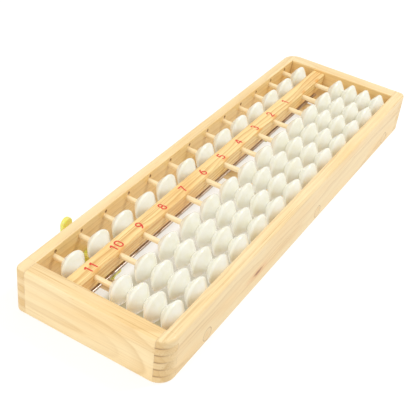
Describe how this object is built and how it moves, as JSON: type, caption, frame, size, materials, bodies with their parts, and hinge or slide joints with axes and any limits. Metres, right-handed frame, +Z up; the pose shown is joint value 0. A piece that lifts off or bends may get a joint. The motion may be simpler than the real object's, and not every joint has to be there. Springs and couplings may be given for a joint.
{
  "type": "abacus",
  "caption": "Wooden rod abacus: box frame with finger joints, a numbered beam, sliding white bicone beads on thin rods and a push-button bead clearing linkage.",
  "frame": {"origin": "centre of the whole footprint on the table, with the button's stand-off counted, so the wooden frame's own centre is 3.5 mm towards -Y", "axes": "+X along the row of rods from left to right, +Y away from the user from the bottom rail to the top rail, +Z up; each rod runs along Y"},
  "size_m": [0.283, 0.0926, 0.0297],
  "materials": {
    "pine": "clear-lacquered pale pine, satin",
    "beam_pine": "clear-lacquered orange-streaked pine, satin",
    "rod_bamboo": "smooth pale bamboo",
    "dowel_wood": "pale hardwood dowel, lacquered with the frame",
    "bead_plastic": "glossy ivory-white moulded plastic",
    "yellow_plastic": "slightly translucent yellow moulded plastic",
    "steel": "bright drawn steel"
  },
  "bodies": {
    "root": {"top_rail": "pine", "bottom_rail": "pine", "left_end": "pine", "right_end": "pine", "beam": "beam_pine", "rods": "rod_bamboo", "tie_dowels": "dowel_wood", "pivot_screws": "steel", "pivot_bushes": "steel", "button_spring": "steel"},
    "drive_lever": {"drive_lever": "yellow_plastic"},
    "idler_link": {"idler_link": "yellow_plastic"},
    "lower_clearing_strip": {"lower_clearing_strip": "steel", "lower_strip_pins": "steel"},
    "upper_clearing_strip": {"upper_clearing_strip": "steel", "upper_strip_pins": "steel"},
    "clear_button": {"button_tab": "yellow_plastic", "button_plunger": "yellow_plastic"},
    "upper_bead_01": {"upper_bead_01": "bead_plastic"},
    "lower_beads_01": {"lower_beads_01": "bead_plastic"},
    "first_lower_bead_01": {"first_lower_bead_01": "bead_plastic"},
    "upper_bead_02": {"upper_bead_02": "bead_plastic"},
    "lower_beads_02": {"lower_beads_02": "bead_plastic"},
    "first_lower_bead_02": {"first_lower_bead_02": "bead_plastic"},
    "upper_bead_03": {"upper_bead_03": "bead_plastic"},
    "lower_beads_03": {"lower_beads_03": "bead_plastic"},
    "first_lower_bead_03": {"first_lower_bead_03": "bead_plastic"},
    "upper_bead_04": {"upper_bead_04": "bead_plastic"},
    "lower_beads_04": {"lower_beads_04": "bead_plastic"},
    "first_lower_bead_04": {"first_lower_bead_04": "bead_plastic"},
    "upper_bead_05": {"upper_bead_05": "bead_plastic"},
    "lower_beads_05": {"lower_beads_05": "bead_plastic"},
    "first_lower_bead_05": {"first_lower_bead_05": "bead_plastic"},
    "upper_bead_06": {"upper_bead_06": "bead_plastic"},
    "lower_beads_06": {"lower_beads_06": "bead_plastic"},
    "first_lower_bead_06": {"first_lower_bead_06": "bead_plastic"},
    "upper_bead_07": {"upper_bead_07": "bead_plastic"},
    "lower_beads_07": {"lower_beads_07": "bead_plastic"},
    "first_lower_bead_07": {"first_lower_bead_07": "bead_plastic"},
    "upper_bead_08": {"upper_bead_08": "bead_plastic"},
    "lower_beads_08": {"lower_beads_08": "bead_plastic"},
    "first_lower_bead_08": {"first_lower_bead_08": "bead_plastic"},
    "upper_bead_09": {"upper_bead_09": "bead_plastic"},
    "lower_beads_09": {"lower_beads_09": "bead_plastic"},
    "first_lower_bead_09": {"first_lower_bead_09": "bead_plastic"},
    "upper_bead_10": {"upper_bead_10": "bead_plastic"},
    "lower_beads_10": {"lower_beads_10": "bead_plastic"},
    "first_lower_bead_10": {"first_lower_bead_10": "bead_plastic"},
    "upper_bead_11": {"upper_bead_11": "bead_plastic"},
    "lower_beads_11": {"lower_beads_11": "bead_plastic"},
    "first_lower_bead_11": {"first_lower_bead_11": "bead_plastic"},
    "upper_bead_12": {"upper_bead_12": "bead_plastic"},
    "lower_beads_12": {"lower_beads_12": "bead_plastic"},
    "first_lower_bead_12": {"first_lower_bead_12": "bead_plastic"},
    "upper_bead_13": {"upper_bead_13": "bead_plastic"},
    "lower_beads_13": {"lower_beads_13": "bead_plastic"},
    "first_lower_bead_13": {"first_lower_bead_13": "bead_plastic"}
  },
  "joints": [
    {"name": "clear_lever_swing", "type": "hinge", "parent": "root", "child": "drive_lever", "pos_m": [-0.09, 0.013, 0.0112], "axis": [0, 0, 1], "range_deg": [0, 45.19]},
    {"name": "clear_button_press", "type": "slide", "parent": "root", "child": "clear_button", "axis": [0, -1, 0], "range_m": [0, 0.0044], "deforming": ["button_spring"]},
    {"name": "clear_lower_strip_pivot", "type": "hinge", "parent": "drive_lever", "child": "lower_clearing_strip", "pos_m": [-0.10557, 0.0093, 0.0112], "axis": [0, 0, 1], "range_deg": [-45.2, 0]},
    {"name": "clear_upper_strip_pivot", "type": "hinge", "parent": "drive_lever", "child": "upper_clearing_strip", "pos_m": [-0.0795, 0.0155, 0.0112], "axis": [0, 0, 1], "range_deg": [-45.2, 0]},
    {"name": "clear_idler_swing", "type": "hinge", "parent": "root", "child": "idler_link", "pos_m": [0.07, 0.013, 0.0112], "axis": [0, 0, 1], "range_deg": [0, 45.2]},
    {"name": "upper_bead_01_slide", "type": "slide", "parent": "root", "child": "upper_bead_01", "axis": [0, 1, 0], "range_m": [0, 0.0066]},
    {"name": "lower_beads_01_slide", "type": "slide", "parent": "root", "child": "lower_beads_01", "axis": [0, -1, 0], "range_m": [-0.0099, 0]},
    {"name": "first_lower_bead_01_slide", "type": "slide", "parent": "lower_beads_01", "child": "first_lower_bead_01", "axis": [0, 1, 0], "range_m": [0, 0.0099]},
    {"name": "upper_bead_02_slide", "type": "slide", "parent": "root", "child": "upper_bead_02", "axis": [0, 1, 0], "range_m": [0, 0.0066]},
    {"name": "lower_beads_02_slide", "type": "slide", "parent": "root", "child": "lower_beads_02", "axis": [0, -1, 0], "range_m": [-0.0099, 0]},
    {"name": "first_lower_bead_02_slide", "type": "slide", "parent": "lower_beads_02", "child": "first_lower_bead_02", "axis": [0, 1, 0], "range_m": [0, 0.0099]},
    {"name": "upper_bead_03_slide", "type": "slide", "parent": "root", "child": "upper_bead_03", "axis": [0, 1, 0], "range_m": [0, 0.0066]},
    {"name": "lower_beads_03_slide", "type": "slide", "parent": "root", "child": "lower_beads_03", "axis": [0, -1, 0], "range_m": [-0.0099, 0]},
    {"name": "first_lower_bead_03_slide", "type": "slide", "parent": "lower_beads_03", "child": "first_lower_bead_03", "axis": [0, 1, 0], "range_m": [0, 0.0099]},
    {"name": "upper_bead_04_slide", "type": "slide", "parent": "root", "child": "upper_bead_04", "axis": [0, 1, 0], "range_m": [0, 0.0066]},
    {"name": "lower_beads_04_slide", "type": "slide", "parent": "root", "child": "lower_beads_04", "axis": [0, -1, 0], "range_m": [-0.0099, 0]},
    {"name": "first_lower_bead_04_slide", "type": "slide", "parent": "lower_beads_04", "child": "first_lower_bead_04", "axis": [0, 1, 0], "range_m": [0, 0.0099]},
    {"name": "upper_bead_05_slide", "type": "slide", "parent": "root", "child": "upper_bead_05", "axis": [0, 1, 0], "range_m": [0, 0.0066]},
    {"name": "lower_beads_05_slide", "type": "slide", "parent": "root", "child": "lower_beads_05", "axis": [0, -1, 0], "range_m": [-0.0099, 0]},
    {"name": "first_lower_bead_05_slide", "type": "slide", "parent": "lower_beads_05", "child": "first_lower_bead_05", "axis": [0, 1, 0], "range_m": [0, 0.0099]},
    {"name": "upper_bead_06_slide", "type": "slide", "parent": "root", "child": "upper_bead_06", "axis": [0, 1, 0], "range_m": [0, 0.0066]},
    {"name": "lower_beads_06_slide", "type": "slide", "parent": "root", "child": "lower_beads_06", "axis": [0, -1, 0], "range_m": [-0.0099, 0]},
    {"name": "first_lower_bead_06_slide", "type": "slide", "parent": "lower_beads_06", "child": "first_lower_bead_06", "axis": [0, 1, 0], "range_m": [0, 0.0099]},
    {"name": "upper_bead_07_slide", "type": "slide", "parent": "root", "child": "upper_bead_07", "axis": [0, 1, 0], "range_m": [0, 0.0066]},
    {"name": "lower_beads_07_slide", "type": "slide", "parent": "root", "child": "lower_beads_07", "axis": [0, -1, 0], "range_m": [-0.0099, 0]},
    {"name": "first_lower_bead_07_slide", "type": "slide", "parent": "lower_beads_07", "child": "first_lower_bead_07", "axis": [0, 1, 0], "range_m": [0, 0.0099]},
    {"name": "upper_bead_08_slide", "type": "slide", "parent": "root", "child": "upper_bead_08", "axis": [0, 1, 0], "range_m": [0, 0.0066]},
    {"name": "lower_beads_08_slide", "type": "slide", "parent": "root", "child": "lower_beads_08", "axis": [0, -1, 0], "range_m": [-0.0099, 0]},
    {"name": "first_lower_bead_08_slide", "type": "slide", "parent": "lower_beads_08", "child": "first_lower_bead_08", "axis": [0, 1, 0], "range_m": [0, 0.0099]},
    {"name": "upper_bead_09_slide", "type": "slide", "parent": "root", "child": "upper_bead_09", "axis": [0, 1, 0], "range_m": [0, 0.0066]},
    {"name": "lower_beads_09_slide", "type": "slide", "parent": "root", "child": "lower_beads_09", "axis": [0, -1, 0], "range_m": [-0.0099, 0]},
    {"name": "first_lower_bead_09_slide", "type": "slide", "parent": "lower_beads_09", "child": "first_lower_bead_09", "axis": [0, 1, 0], "range_m": [0, 0.0099]},
    {"name": "upper_bead_10_slide", "type": "slide", "parent": "root", "child": "upper_bead_10", "axis": [0, 1, 0], "range_m": [0, 0.0066]},
    {"name": "lower_beads_10_slide", "type": "slide", "parent": "root", "child": "lower_beads_10", "axis": [0, -1, 0], "range_m": [-0.0099, 0]},
    {"name": "first_lower_bead_10_slide", "type": "slide", "parent": "lower_beads_10", "child": "first_lower_bead_10", "axis": [0, 1, 0], "range_m": [0, 0.0099]},
    {"name": "upper_bead_11_slide", "type": "slide", "parent": "root", "child": "upper_bead_11", "axis": [0, 1, 0], "range_m": [0, 0.0066]},
    {"name": "lower_beads_11_slide", "type": "slide", "parent": "root", "child": "lower_beads_11", "axis": [0, -1, 0], "range_m": [-0.0099, 0]},
    {"name": "first_lower_bead_11_slide", "type": "slide", "parent": "lower_beads_11", "child": "first_lower_bead_11", "axis": [0, 1, 0], "range_m": [0, 0.0099]},
    {"name": "upper_bead_12_slide", "type": "slide", "parent": "root", "child": "upper_bead_12", "axis": [0, 1, 0], "range_m": [0, 0.0066]},
    {"name": "lower_beads_12_slide", "type": "slide", "parent": "root", "child": "lower_beads_12", "axis": [0, -1, 0], "range_m": [-0.0099, 0]},
    {"name": "first_lower_bead_12_slide", "type": "slide", "parent": "lower_beads_12", "child": "first_lower_bead_12", "axis": [0, 1, 0], "range_m": [0, 0.0099]},
    {"name": "upper_bead_13_slide", "type": "slide", "parent": "root", "child": "upper_bead_13", "axis": [0, 1, 0], "range_m": [0, 0.0066]},
    {"name": "lower_beads_13_slide", "type": "slide", "parent": "root", "child": "lower_beads_13", "axis": [0, -1, 0], "range_m": [-0.0099, 0]},
    {"name": "first_lower_bead_13_slide", "type": "slide", "parent": "lower_beads_13", "child": "first_lower_bead_13", "axis": [0, 1, 0], "range_m": [0, 0.0099]}
  ],
  "couplings": [
    {"joint": "clear_button_press", "follows": "clear_lever_swing", "m_per_rad": 0.0055785},
    {"joint": "clear_lower_strip_pivot", "follows": "clear_lever_swing", "ratio": -1},
    {"joint": "clear_upper_strip_pivot", "follows": "clear_lever_swing", "ratio": -1},
    {"joint": "clear_idler_swing", "follows": "clear_lever_swing", "ratio": 1}
  ]
}
